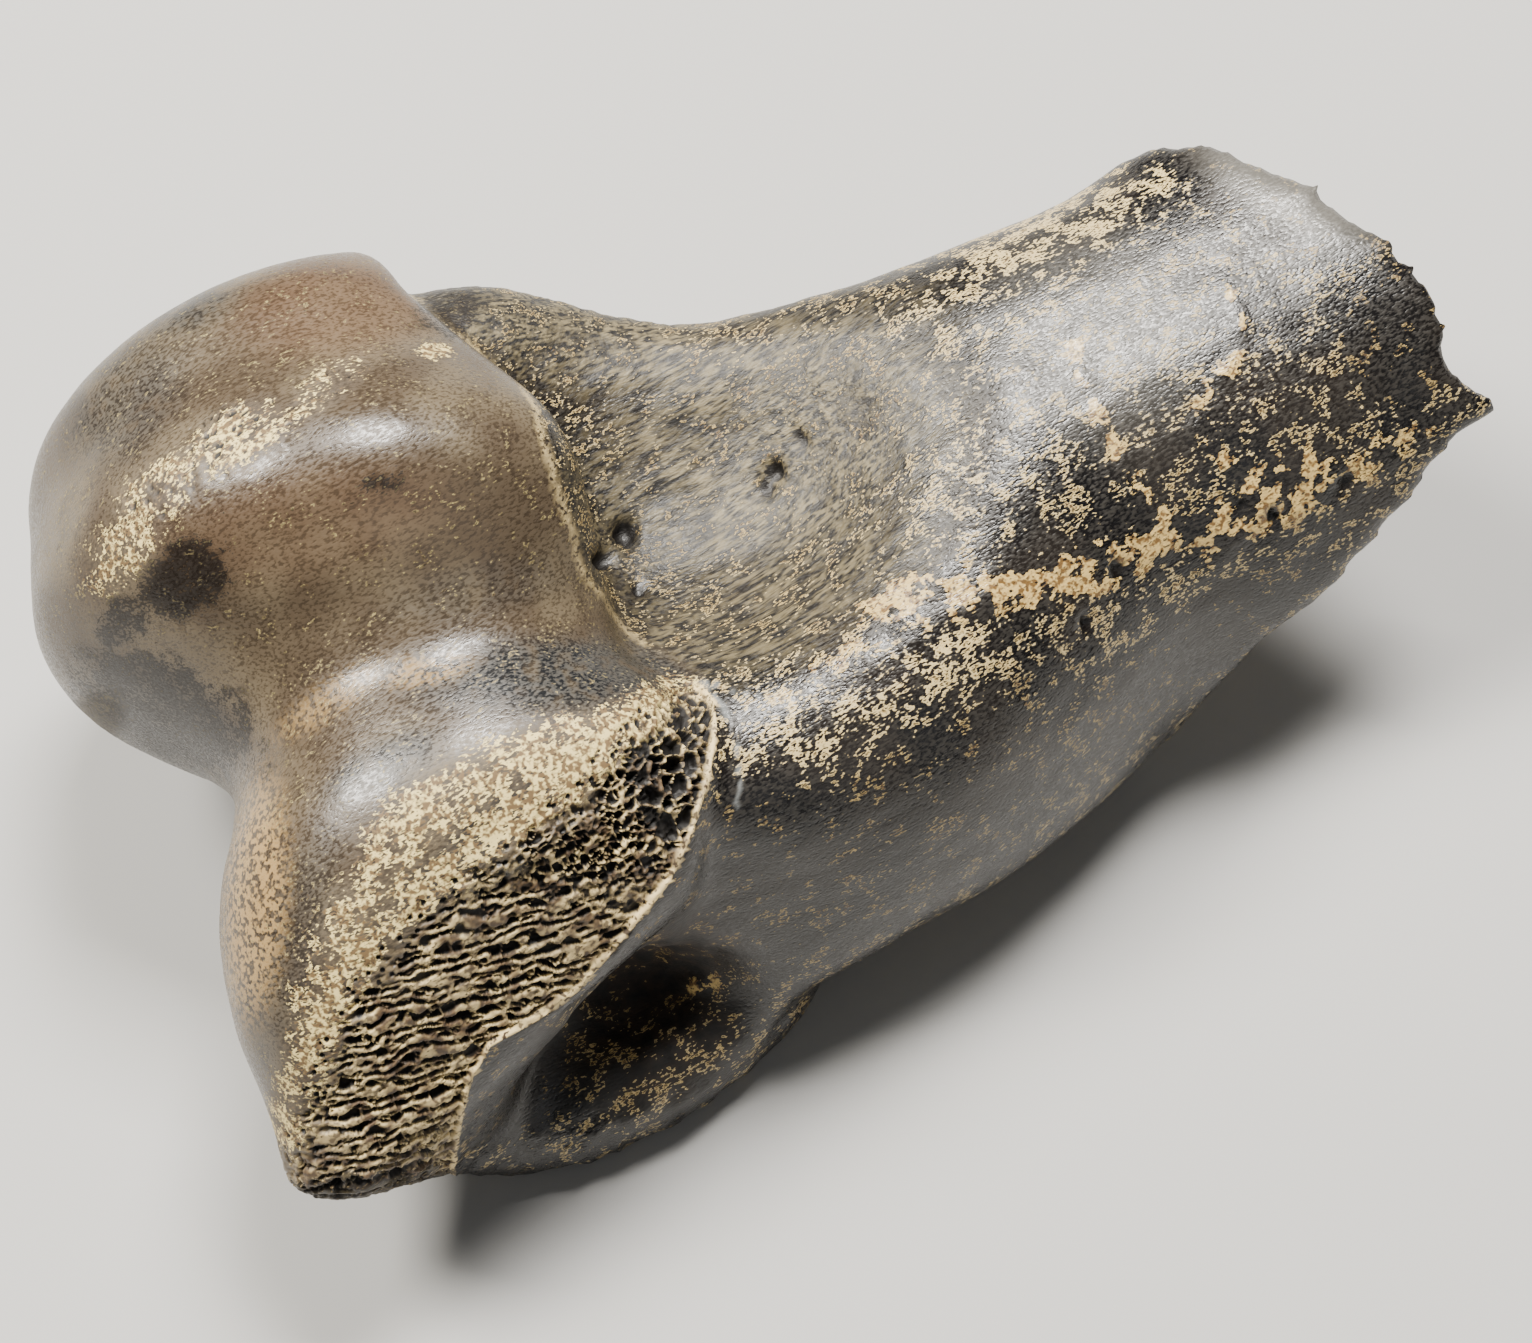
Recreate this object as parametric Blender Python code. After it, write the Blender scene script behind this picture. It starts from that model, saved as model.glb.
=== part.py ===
"""The joint end of a fossil limb bone: a two-lobed joint surface and a broken stump of shaft, in one piece.

The bone lies on a table, the plane z = 0. +X runs along the shaft from the joint to the break, +Y is the side of
the lobe that is whole, -Y the side that is worn open, and +Z is up. While it is made, x = 0 is on the axis of the
joint, and at the end the bone is moved to have the bottom centre of its box at the origin.

Its form is a distance-like function of space. A clay of plain solids is fused, carved, drawn onto that form
and thinned to the faces that it needs.
"""

import math

import bmesh
import bpy
import numpy as np
from mathutils import Matrix, Vector, noise

MM = 0.001
CLAY_GRAIN = 1.4
# Each round of drawing the clay onto the form: its grain, its steps, and the furthest that a step moves a point.
DRAWING_ROUNDS = ((1.2, 8, 1.0), (1.2, 8, 1.0), (1.0, 4, 0.5))
MOST_TRIANGLES = 8000
SHARP_ANGLE = math.radians(40)
BONE_COLOUR = (0.055, 0.044, 0.033, 1.0)
BONE_ROUGHNESS = 0.4

# The joint surface is turned about an axis near Y, and its groove slants.
# Each row: place on the axis, radius, furthest x of the surface.
# A swelling on it, as the others below, is the lower corner of the worn lobe.
DRUM_Z = 30.2
DRUM_TURN = math.radians(2.5)
GROOVE_SLANT = 0.21
DRUM_PROFILE = (
    (-36.5, 26.4, 19.1),
    (-30.7, 27.7, 19.1),
    (-25.5, 27.5, 19.1),
    (-20.9, 26.4, 19.7),
    (-16.2, 24.9, 20.3),
    (-12.2, 23.0, 19.7),
    (-8.1, 20.5, 18.6),
    (-2.9, 18.6, 16.7),
    (1.7, 20.2, 17.4),
    (6.4, 24.1, 18.6),
    (10.4, 26.9, 19.5),
    (15.1, 27.8, 19.7),
    (19.7, 26.6, 18.6),
    (24.9, 24.7, 16.8),
    (30.7, 23.5, 14.5),
    (37.8, 21.8, 13.9),
)
DRUM_SWELLING = ((-20.5, -29.5, 21.0), (10.0, 6.5, 12.0), 6.0)
WORN_END_ROUND = 1.7
WHOLE_END_ROUND = 8.0
RIM_ROUND = 1.7
RIM_FILLET = 1.4

# Stations along the shaft: x, centre y, half width, bottom, top, squareness.
SHAFT = (
    (-7.0, -1.2, 27.8, 10.4, 44.1, 2.3),
    (7.0, -1.7, 33.1, 3.5, 45.2, 2.4),
    (19.7, -2.0, 31.3, 1.7, 43.5, 2.5),
    (27.8, -3.8, 29.1, 2.1, 42.9, 2.6),
    (39.4, -6.7, 25.8, 1.2, 42.3, 2.6),
    (51.0, -7.3, 22.9, -0.8, 42.0, 2.5),
    (62.6, -7.0, 20.4, -0.8, 41.8, 2.5),
    (74.2, -8.3, 20.7, -0.8, 41.8, 2.5),
    (88.2, -6.9, 22.3, -0.8, 41.8, 2.5),
    (104.4, -6.9, 22.3, -0.8, 41.8, 2.5),
)
SHAFT_LEAN = 0.25
JOINT_END_ROUND = 4.6
FAR_END_ROUND = 1.2

# Swellings and hollows are ellipsoids: centre, radii, and the fillet round them.
SWELLINGS = (
    ((13.9, 21.1, 19.7), (19.7, 11.6, 20.6), 9.3),
    ((13.5, 24.5, 35.0), (11.6, 8.2, 9.3), 7.0),
)
FOSSAE = (
    ((27.8, 1.2, 53.4), (19.7, 17.4, 21.5), 12.8),
    ((23.2, -1.2, 0.0), (17.4, 13.9, 15.1), 5.8),
)
# The side pit lies aslant above its lower lip.
PIT_TILT = math.radians(35)
PIT = ((1.2, -38.3, 15.2), (15.2, 14.5, 12.4), 2.5)
LIP = ((3.0, -28.4, 4.1), (18.4, 7.0, 7.0), 4.6)

# The worn facets of the joint surface and of the shaft's flare: a point on each, the way it faces, and its fillet.
DRUM_FACETS = (
    ((0.0, -13.9, 53.4), (-0.05, -0.68, 0.73), 16.0),
    ((-10.3, -30.3, 32.5), (0.02, -0.86, 0.51), 6.0),
    ((-1.3, -29.5, 31.4), (0.187, -0.98, -0.04), 1.2),
    ((14.5, -23.5, 43.0), (0.79, -0.61, 0.0), 1.2),
    ((-26.3, -31.9, 20.0), (-0.477, -0.78, -0.405), 2.0),
)
SHAFT_FACETS = (
    ((16.2, -23.8, 39.4), (-0.24, -0.91, 0.34), 1.9),
    ((0.0, -13.9, 49.4), (-0.2, -0.66, 0.72), 1.9),
)

# The break: the middle of its face, the way it faces, its roughness, and its height at places up the face.
BREAK_POINT = (81.5, -9.3, 20.9)
BREAK_FACING = (0.787, 0.321, -0.528)
BREAK_PROFILE = (
    (-30.2, -13.9),
    (-16.2, -13.9),
    (-10.4, -12.6),
    (-1.2, -8.8),
    (7.0, -5.3),
    (18.6, -2.3),
    (25.5, -1.0),
)
BREAK_SIDE = 106.7
BREAK_STEPS = 62
BREAK_ROUGHNESS = 1.2
BREAK_GRAIN = 7.0
# On its face are a marrow hollow and a splinter: place across and up, reach across and up, height, squareness.
MARROW = (0.0, -3.5, 10.5, 15.0, -8.0, 4)
SPLINTER = (-20.3, 12.5, 7.0, 2.8, 5.8, 1.6)


def along(x, table, column):
    """A column of a table at each x, on a smooth curve through the rows."""
    rows = np.array(table)
    xs, ys = rows[:, 0], rows[:, column]
    slopes = np.gradient(ys, xs)
    x = np.clip(x, xs[0], xs[-1])
    i = np.clip(np.searchsorted(xs, x) - 1, 0, len(xs) - 2)
    step = xs[i + 1] - xs[i]
    t = (x - xs[i]) / step
    a, b = slopes[i] * step, slopes[i + 1] * step
    rise = ys[i + 1] - ys[i]
    return ys[i] + t * (a + t * ((3 * rise - 2 * a - b) + t * (a + b - 2 * rise)))


def joined(a, b, fillet):
    """Two forms as one, with a fillet of about this size between them."""
    h = np.clip(0.5 + 0.5 * (b - a) / fillet, 0, 1)
    return b + (a - b) * h - fillet * h * (1 - h)


def within(a, b, fillet):
    """What two forms have in common."""
    return -joined(-a, -b, fillet)


def ellipsoid(p, centre, radii, tilt=0.0):
    """About the distance of each point from an ellipsoid, negative inside. The tilt lifts its +X end."""
    q = (p - centre) @ np.array(Matrix.Rotation(-tilt, 3, "Y")) / radii
    size = np.linalg.norm(q, axis=1)
    return size * (size - 1) / np.maximum(np.linalg.norm(q / radii, axis=1), 1e-9)


def swelled(f, p, swelling):
    centre, radii, fillet = swelling
    return joined(f, ellipsoid(p, centre, radii), fillet)


def carved(f, p, hollow, tilt=0.0):
    centre, radii, fillet = hollow
    return within(f, -ellipsoid(p, centre, radii, tilt), fillet)


def worn(f, p, facet):
    point, facing, fillet = facet
    return within(f, (p - point) @ np.array(facing), fillet)


def drum(p):
    """The turned joint surface."""
    c, s = math.cos(DRUM_TURN), math.sin(DRUM_TURN)
    x, y, z = c * p[:, 0] - s * p[:, 1], c * p[:, 1] + s * p[:, 0], p[:, 2]
    place = y + GROOVE_SLANT * x
    slope = (along(place + 1, DRUM_PROFILE, 1) - along(place - 1, DRUM_PROFILE, 1)) / 2
    side = (np.hypot(x, z - DRUM_Z) - along(place, DRUM_PROFILE, 1)) / np.sqrt(1 + slope**2)
    side = within(side, DRUM_PROFILE[0][0] - y, WORN_END_ROUND)
    side = within(side, y - DRUM_PROFILE[-1][0], WHOLE_END_ROUND)
    side = swelled(side, p, DRUM_SWELLING)
    for facet in DRUM_FACETS:
        side = worn(side, p, facet)
    return within(side, x - along(place, DRUM_PROFILE, 2), RIM_ROUND)


def shaft(p):
    """The shaft and its flare towards the joint."""
    x, y, z = p.T
    centre, a, bottom, top, n = (along(x, SHAFT, column) for column in (1, 2, 3, 4, 5))
    b = (top - bottom) / 2
    height = z - bottom - b
    u, v = np.abs(y - centre - SHAFT_LEAN * height) / a, np.abs(height) / b
    r = np.maximum((u**n + v**n) ** (1 / n), 0.2)
    steep = np.hypot((u / r) ** (n - 1) / a, (v / r) ** (n - 1) / b)
    side = (r - 1) / np.maximum(steep, 1e-6)
    side = within(side, SHAFT[0][0] - x, JOINT_END_ROUND)
    return within(side, x - SHAFT[-1][0], FAR_END_ROUND)


def form(p):
    """About the distance of each point from the bone's surface in millimetres, negative inside."""
    f = shaft(p)
    for swelling in SWELLINGS:
        f = swelled(f, p, swelling)
    for fossa in FOSSAE:
        f = carved(f, p, fossa)
    for facet in SHAFT_FACETS:
        f = worn(f, p, facet)
    f = joined(f, drum(p), RIM_FILLET)
    f = carved(f, p, PIT, PIT_TILT)
    return swelled(f, p, LIP)


def steepest(p):
    """The way in which the form grows fastest at each point."""
    step = 0.05
    return np.stack([form(p + step * e) - form(p - step * e) for e in np.eye(3)], axis=1) / (2 * step)


def ball(made, centre, radii, tilt=0.0):
    verts = bmesh.ops.create_uvsphere(made, u_segments=48, v_segments=24, radius=1)["verts"]
    turn = Matrix.Rotation(-tilt, 3, "Y").to_quaternion()
    bmesh.ops.transform(made, verts=verts, matrix=Matrix.LocRotScale(Vector(centre), turn, Vector(radii)))


def tube(made, rings):
    """A closed tube through rings that each have the same number of points."""
    loops = [[made.verts.new(point) for point in ring] for ring in rings]
    for first, second in zip(loops, loops[1:]):
        for i in range(len(first)):
            made.faces.new((first[i - 1], first[i], second[i], second[i - 1]))
    made.faces.new(loops[0])
    made.faces.new(loops[-1][::-1])


def drum_rings():
    turn = Matrix.Rotation(-DRUM_TURN, 3, "Z")
    for y, radius, _ in DRUM_PROFILE:
        angles = np.linspace(0, 2 * math.pi, 64, endpoint=False)
        yield [turn @ Vector((radius * math.cos(a), y, DRUM_Z + radius * math.sin(a))) for a in angles]


def shaft_rings():
    for x, centre, a, bottom, top, n in SHAFT:
        b = (top - bottom) / 2
        ring = []
        for angle in np.linspace(0, 2 * math.pi, 64, endpoint=False):
            u, v = math.cos(angle), math.sin(angle)
            reach = (abs(u) ** n + abs(v) ** n) ** (-1 / n)
            height = b * reach * v
            ring.append((x, centre + SHAFT_LEAN * height - a * reach * u, bottom + b + height))
        yield ring


def solid_mesh(name, build):
    """A mesh filled in by a function that takes a bmesh in millimetres."""
    made = bmesh.new()
    build(made)
    bmesh.ops.recalc_face_normals(made, faces=made.faces)
    mesh = bpy.data.meshes.new(name)
    made.to_mesh(mesh)
    made.free()
    return mesh


def clay(made):
    tube(made, drum_rings())
    tube(made, shaft_rings())
    for centre, radii, _ in (*SWELLINGS, DRUM_SWELLING):
        ball(made, centre, radii)


def hollows(made):
    for centre, radii, _ in FOSSAE:
        ball(made, centre, radii)
    ball(made, *PIT[:2], PIT_TILT)


def lip(made):
    ball(made, *LIP[:2])


def beyond_break(made):
    """Everything past the break, with the break's own rough face: a block whose near side is that face."""
    size = BREAK_SIDE / 2
    bmesh.ops.create_grid(made, x_segments=BREAK_STEPS, y_segments=BREAK_STEPS, size=size)
    for vert in made.verts:
        u, v = vert.co.x, vert.co.y
        height = along(v, BREAK_PROFILE, 1) + BREAK_ROUGHNESS * noise.noise(vert.co / BREAK_GRAIN)
        for across, up, reach_across, reach_up, rise, n in (MARROW, SPLINTER):
            height += rise * math.exp(-(abs((u - across) / reach_across) ** n) - abs((v - up) / reach_up) ** n)
        vert.co.z = height
    far = bmesh.ops.extrude_face_region(made, geom=made.faces[:])["geom"]
    for vert in far:
        if isinstance(vert, bmesh.types.BMVert):
            vert.co.z = size
    facing = Vector(BREAK_FACING)
    turn = facing.to_track_quat("Z", "Y")
    bmesh.ops.transform(made, verts=made.verts, matrix=Matrix.LocRotScale(Vector(BREAK_POINT), turn, None))


def worked(obj, kind, **settings):
    """Puts a modifier on the object and makes its result the object's mesh."""
    modifier = obj.modifiers.new(kind.lower(), kind)
    for name, value in settings.items():
        setattr(modifier, name, value)
    graph = bpy.context.evaluated_depsgraph_get()
    mesh = bpy.data.meshes.new_from_object(obj.evaluated_get(graph))
    obj.modifiers.clear()
    old, obj.data = obj.data, mesh
    bpy.data.meshes.remove(old)


def points_of(mesh):
    p = np.empty(len(mesh.vertices) * 3)
    mesh.vertices.foreach_get("co", p)
    return p.reshape(-1, 3)


def drawn_onto_form(mesh, rounds, furthest):
    """Moves each vertex to the nearest part of the form's surface, by no more than this each round."""
    p = points_of(mesh)
    for _ in range(rounds):
        g = steepest(p)
        size = np.maximum(np.linalg.norm(g, axis=1), 0.3)
        p -= (np.clip(form(p) / size, -furthest, furthest) / size)[:, None] * g
    mesh.vertices.foreach_set("co", p.astype(np.float32).ravel())
    mesh.update()


def combined(obj, build, operation):
    """Cuts a solid out of the object or adds one to it."""
    tool = bpy.data.objects.new(build.__name__, solid_mesh(build.__name__, build))
    bpy.context.scene.collection.objects.link(tool)
    worked(obj, "BOOLEAN", operation=operation, object=tool, use_self=True)
    bpy.data.objects.remove(tool)


def stood_on_table(mesh):
    """Takes away what is below the table, which leaves small flats to rest on."""
    made = bmesh.new()
    made.from_mesh(mesh)
    parts = [*made.verts, *made.edges, *made.faces]
    bmesh.ops.bisect_plane(made, geom=parts, plane_co=(0, 0, 0), plane_no=(0, 0, -1), clear_outer=True)
    bmesh.ops.holes_fill(made, edges=[edge for edge in made.edges if edge.is_boundary])
    bmesh.ops.triangulate(made, faces=made.faces)
    made.to_mesh(mesh)
    made.free()


def centred(mesh):
    """Moves the bone to have the bottom centre of its box at the origin."""
    p = points_of(mesh)
    middle = (p.min(axis=0) + p.max(axis=0)) / 2
    mesh.transform(Matrix.Translation((-middle[0], -middle[1], 0)))


def bone_material():
    """Dark mineral bone with a dull gloss."""
    material = bpy.data.materials.new("fossil_bone")
    material.use_nodes = True
    surface = material.node_tree.nodes["Principled BSDF"]
    surface.inputs["Base Color"].default_value = BONE_COLOUR
    surface.inputs["Roughness"].default_value = BONE_ROUGHNESS
    surface.inputs["Metallic"].default_value = 0.0
    return material


def main():
    for old in list(bpy.data.objects):
        bpy.data.objects.remove(old)
    bone = bpy.data.objects.new("bone", solid_mesh("bone", clay))
    bpy.context.scene.collection.objects.link(bone)
    worked(bone, "REMESH", mode="VOXEL", voxel_size=CLAY_GRAIN)
    combined(bone, hollows, "DIFFERENCE")
    combined(bone, lip, "UNION")
    for grain, rounds, furthest in DRAWING_ROUNDS:
        worked(bone, "REMESH", mode="VOXEL", voxel_size=grain)
        drawn_onto_form(bone.data, rounds, furthest)
    worked(bone, "DECIMATE", ratio=MOST_TRIANGLES / (2 * len(bone.data.polygons)))
    combined(bone, beyond_break, "DIFFERENCE")
    stood_on_table(bone.data)
    centred(bone.data)
    bone.data.transform(Matrix.Scale(MM, 4))
    bone.data.shade_smooth()
    bone.data.set_sharp_from_angle(angle=SHARP_ANGLE)
    bone.data.materials.append(bone_material())


main()
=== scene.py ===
"""How the fossil bone looks: its fine surface, its colours, a floor, soft light and the photograph's camera.

Lengths on the bone and the camera's place are in millimetres until they are finished, and the lights and the
floor are in metres. Places that were read from the photograph are pixels of it, and they reach the bone along
the camera's lines of sight.
"""

import math
from types import SimpleNamespace

import bmesh
import bpy
import numpy as np
from mathutils import Matrix, Vector

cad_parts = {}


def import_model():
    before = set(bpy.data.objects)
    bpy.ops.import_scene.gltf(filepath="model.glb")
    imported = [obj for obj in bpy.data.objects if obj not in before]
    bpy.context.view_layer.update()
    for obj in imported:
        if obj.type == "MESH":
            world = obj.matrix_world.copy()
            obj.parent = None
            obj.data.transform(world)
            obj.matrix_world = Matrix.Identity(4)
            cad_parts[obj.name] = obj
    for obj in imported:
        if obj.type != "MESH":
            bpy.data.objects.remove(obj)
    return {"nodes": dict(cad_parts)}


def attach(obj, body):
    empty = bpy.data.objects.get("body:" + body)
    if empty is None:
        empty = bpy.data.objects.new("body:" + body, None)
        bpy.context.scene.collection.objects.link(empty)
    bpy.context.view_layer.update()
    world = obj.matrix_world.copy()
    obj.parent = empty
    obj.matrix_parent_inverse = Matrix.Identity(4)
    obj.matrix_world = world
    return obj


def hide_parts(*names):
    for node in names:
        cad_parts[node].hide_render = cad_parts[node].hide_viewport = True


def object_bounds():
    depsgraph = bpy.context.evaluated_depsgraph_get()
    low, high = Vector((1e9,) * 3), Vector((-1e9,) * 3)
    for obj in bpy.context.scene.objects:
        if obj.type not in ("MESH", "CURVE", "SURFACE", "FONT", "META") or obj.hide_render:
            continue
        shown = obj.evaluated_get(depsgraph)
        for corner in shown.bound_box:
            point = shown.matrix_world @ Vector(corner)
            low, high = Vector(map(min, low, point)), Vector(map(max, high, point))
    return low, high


MM = 0.001
# The photograph's width and height in pixels.
PHOTO = (1532, 1343)

# The camera: where it looks, from how far, which side and how high, and how tilted. Then its lens and sensor.
TARGET = Vector((-4.6, -10.6, 23.2))
DISTANCE = 301.6
AZIMUTH = math.radians(-26)
ELEVATION = math.radians(66)
ROLL = math.radians(-5)
LENS = 79.0
SENSOR = 36.0

# Lights: place and aim in metres, size, power in watts and colour.
LIGHTS = (
    ("key", (-0.28, 0.30, 0.70), (0.0, 0.0, 0.02), 0.26, 12.0, (1.0, 0.95, 0.86)),
    ("top", (0.24, 0.20, 0.78), (0.02, 0.0, 0.02), 0.24, 13.5, (1.0, 0.96, 0.90)),
    ("fill", (0.10, -0.80, 0.50), (0.0, 0.0, 0.02), 0.60, 0.5, (1.0, 1.0, 1.0)),
)
# The light from all around, and the floor with its side in metres.
WORLD_COLOUR = (0.8, 0.8, 0.79, 1)
WORLD_STRENGTH = 0.13
FLOOR_SIZE = 4
FLOOR_COLOUR = (0.50, 0.50, 0.495, 1)
FLOOR_ROUGHNESS = 0.8

# The mesh: the side of its faces at first, and how often it is evened out, then and after each split.
BASE_GRAIN = 0.76
SMOOTHING = 30
SPLIT_SMOOTHING = 3
# The edge of the break is evened out more: from where to where along the bone, and how often.
BREAK_ZONE = (38.0, 46.0)
BREAK_SMOOTHING = 60

# The edge of the joint surface: place across the bone, and how far along it the surface reaches.
RIM = (
    (-37.0, -16.0),
    (-17.0, -12.5),
    (-10.0, -13.5),
    (-3.0, -16.8),
    (1.0, -16.5),
    (15.0, -13.0),
    (25.0, -16.0),
    (37.0, -19.0),
)
# A cream line runs along this edge from here on, as a place across the bone.
RIM_LINE_SIDE = -8.0

# The spongy bone in the photograph: its sharp edge above the side pit, the edge where it fades, and its foot.
SPONGY_EDGE = (
    (700, 682),
    (714, 700),
    (717, 730),
    (711, 777),
    (692, 835),
    (670, 884),
    (629, 932),
    (580, 990),
    (536, 1021),
    (491, 1047),
    (471, 1083),
    (460, 1131),
    (452, 1195),
)
SPONGY_FADE = (
    (640, 705),
    (564, 790),
    (503, 838),
    (425, 900),
    (365, 958),
    (334, 1010),
    (308, 1067),
    (290, 1124),
    (262, 1170),
)
SPONGY_FOOT = ((270, 1230), (452, 1240))
SPONGY_OUTLINE = SPONGY_EDGE + SPONGY_FOOT[::-1] + SPONGY_FADE[::-1]
# How far along the bone it and the worn patches may reach, since the lines of sight meet other parts too.
SPONGY_REACH = -8.0
WORN_REACH = -12.0

# Its holes are largest in one ellipse of the photograph. Further down, between two rows of pixels, they go
# over to gaps between plates. Then come the sizes of both kinds of hole, how far apart the plates stand, and
# how far all of it lies below the worn surface.
LARGE_HOLES = ((688, 780), (42, 75))
PLATES = (850, 930)
HOLE_SIZE = 0.85
LARGE_HOLE_SIZE = 1.7
PLATE_SPACING = 1.05
SPONGY_DROP = 0.35
# The depth from which the painted shade in the holes is full.
HOLE_SHADE_DEPTH = 0.9

# The side of the bone below the sharp edge is no joint surface: its outline in the photograph, and how far
# across the bone it reaches.
FLANK = SPONGY_EDGE + ((452, 1260), (900, 1180), (1000, 860), (730, 660))
FLANK_SIDE = -12.0

# The pores of the worn joint surface, the fibres and the crust: their sizes, and how deep or high they are.
PORE_SIZE = 0.8
PORE_DEPTH = 0.4
FIBRE_SIZE = 0.6
FIBRE_DEPTH = 0.16
CRUST_HEIGHT = 0.2

# Small holes in the hollow behind the joint and in the crust: place in the photograph, and radius. Then their
# depth for each millimetre of radius.
FORAMINA = (
    ((626, 532), 1.1),
    ((604, 560), 0.9),
    ((774, 471), 0.9),
    ((766, 488), 0.7),
    ((640, 590), 0.6),
    ((800, 440), 0.6),
)
SHAFT_PITS = (
    ((1274, 515), 0.7),
    ((1347, 482), 0.7),
    ((1086, 623), 0.6),
    ((1118, 568), 0.6),
    ((1240, 505), 0.5),
)
HOLE_DEPTH_PER_RADIUS = 1.3

# The side pit in the photograph: its middle and its reach in pixels. Then how much deeper than the solid's it
# gets, the number of its folds, and the height on the bone below which it lies.
PIT_MIDDLE = (640, 1000)
PIT_REACH = 120
PIT_DEPTH = 2.0
PIT_FOLDS = 11
PIT_TOP = 30.0

# Two pale cracks beside the spongy bone, as lines in the photograph.
CRACKS = (
    ((702, 682), (722, 704), (736, 740), (740, 775), (736, 812)),
    ((706, 682), (730, 690), (762, 697)),
)

# Patches in the photograph: middle, reach to the right and down, turn in degrees, and strength.
CREAM = (
    ((555, 750), (80, 30), -14, 0.85),
    ((450, 800), (90, 34), -30, 0.75),
    ((365, 905), (110, 30), -58, 0.65),
    ((310, 1010), (60, 22), -75, 0.5),
    ((640, 725), (75, 34), -25, 1.0),
    ((540, 800), (90, 24), -38, 1.0),
    ((440, 880), (90, 22), -42, 0.9),
    ((340, 1000), (90, 22), -60, 0.8),
    ((300, 1090), (80, 24), -70, 0.6),
    ((125, 555), (44, 30), -50, 0.6),
    ((240, 435), (48, 26), -30, 0.8),
    ((160, 490), (56, 26), -40, 0.5),
    ((325, 390), (48, 18), -35, 0.5),
    ((100, 715), (24, 24), 0, 0.6),
    ((435, 352), (16, 8), 0, 1.0),
)
SLATE = (
    ((560, 675), (150, 36), -2, 1.0),
    ((385, 765), (60, 22), -28, 0.9),
    ((470, 850), (120, 24), -44, 0.7),
    ((290, 960), (30, 120), 16, 0.5),
    ((190, 310), (45, 20), -20, 0.8),
    ((660, 650), (50, 30), 40, 0.8),
    ((120, 400), (70, 50), -50, 0.6),
    ((480, 590), (90, 26), -12, 0.4),
)
ORANGE = (
    ((255, 900), (30, 110), 4, 0.8),
    ((425, 670), (42, 14), -10, 0.6),
    ((330, 700), (60, 16), -35, 0.4),
)
# Black stains, and painted shade on the underside of the joint and in a dark band along the bone's bottom
# edge.
BLACK_STAINS_AND_SHADE = (
    ((183, 580), (46, 34), -25, 1.0),
    ((125, 620), (34, 22), -45, 0.8),
    ((381, 480), (22, 12), 0, 0.5),
    ((450, 305), (30, 30), 0, 0.8),
    ((165, 715), (95, 50), 25, 0.95),
    ((400, 1192), (130, 20), -3, 0.9),
)
RED = (
    ((350, 300), (110, 50), -10, 0.8),
    ((300, 520), (130, 55), -10, 0.5),
)
WORN = (
    ((240, 435), (52, 34), -20, 1.0),
    ((160, 495), (50, 32), -40, 0.6),
    ((325, 390), (48, 22), -35, 0.5),
)
CRUST = (
    ((930, 600), (62, 26), -12, 1.0),
    ((1010, 590), (64, 22), -8, 1.0),
    ((1090, 570), (60, 24), -18, 1.0),
    ((1155, 545), (30, 16), -30, 0.8),
    ((1225, 530), (44, 24), -30, 1.0),
    ((1290, 490), (56, 30), -25, 0.9),
    ((860, 660), (90, 20), -24, 0.4),
    ((1380, 455), (60, 16), -30, 0.5),
    ((704, 985), (18, 8), -20, 1.0),
)
SPECKLED = (
    ((600, 325), (160, 24), 12, 0.4),
    ((1060, 225), (130, 32), -22, 1.0),
    ((1150, 190), (40, 22), -20, 0.9),
    ((980, 300), (110, 40), -25, 0.5),
    ((860, 700), (170, 60), -24, 0.7),
    ((1180, 600), (150, 40), -28, 0.3),
    ((1000, 480), (120, 60), -25, 0.4),
)
# Pale grey on the shaft: a pale patch near its top corner, and a painted sheen on its lit top.
PALE_AND_SHEEN = (
    ((1290, 185), (92, 36), 28, 1.0),
    ((1090, 330), (90, 110), -30, 0.35),
)
BARE = (
    ((1280, 190), (95, 42), 28, 1.0),
    ((900, 830), (260, 90), -36, 0.30),
    ((1190, 650), (150, 40), -38, 0.35),
    ((1395, 335), (45, 60), -10, 1.0),
    ((520, 1080), (60, 40), -50, 0.8),
    ((700, 900), (60, 130), 35, 0.7),
)
FIBROUS = (
    ((600, 340), (170, 50), 12, 1.0),
    ((760, 450), (190, 120), -30, 0.9),
    ((760, 600), (180, 60), -25, 0.7),
)
# The rough lower rim of the side pit, and the ragged foot of the spongy bone.
RAGGED = (
    ((620, 1130), (170, 34), -16, 1.0),
    ((400, 1180), (140, 26), -3, 1.0),
    ((780, 1040), (60, 40), -35, 0.6),
)
# Thin lines of crust on the shaft, in the photograph.
CRUST_LINES = (
    ((1071, 341), (1080, 372), (1095, 406), (1108, 440), (1124, 471), (1153, 506), (1183, 535)),
    ((1230, 289), (1241, 324), (1236, 365), (1221, 377)),
    ((1221, 377), (1200, 400), (1195, 430)),
    ((1206, 447), (1240, 470), (1262, 500), (1240, 540)),
)

# Colours as a screen shows them, from 0 to 255.
BROWN = (80, 68, 53)
LIGHT_BROWN = (104, 92, 73)
DEEP_BROWN = (60, 50, 40)
RED_BROWN = (108, 80, 58)
BROWN_GRAIN = (40, 33, 27)
SLATE_DARK = (28, 29, 31)
SLATE_LIGHT = (70, 68, 64)
ORANGE_TAN = (178, 146, 96)
CREAM_PORE = (116, 92, 58)
CREAM_LIGHT = (246, 222, 150)
SHAFT_BLACK = (12, 11, 12)
SHAFT_BROWN = (30, 26, 23)
SHAFT_GREY = (70, 66, 60)
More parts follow.
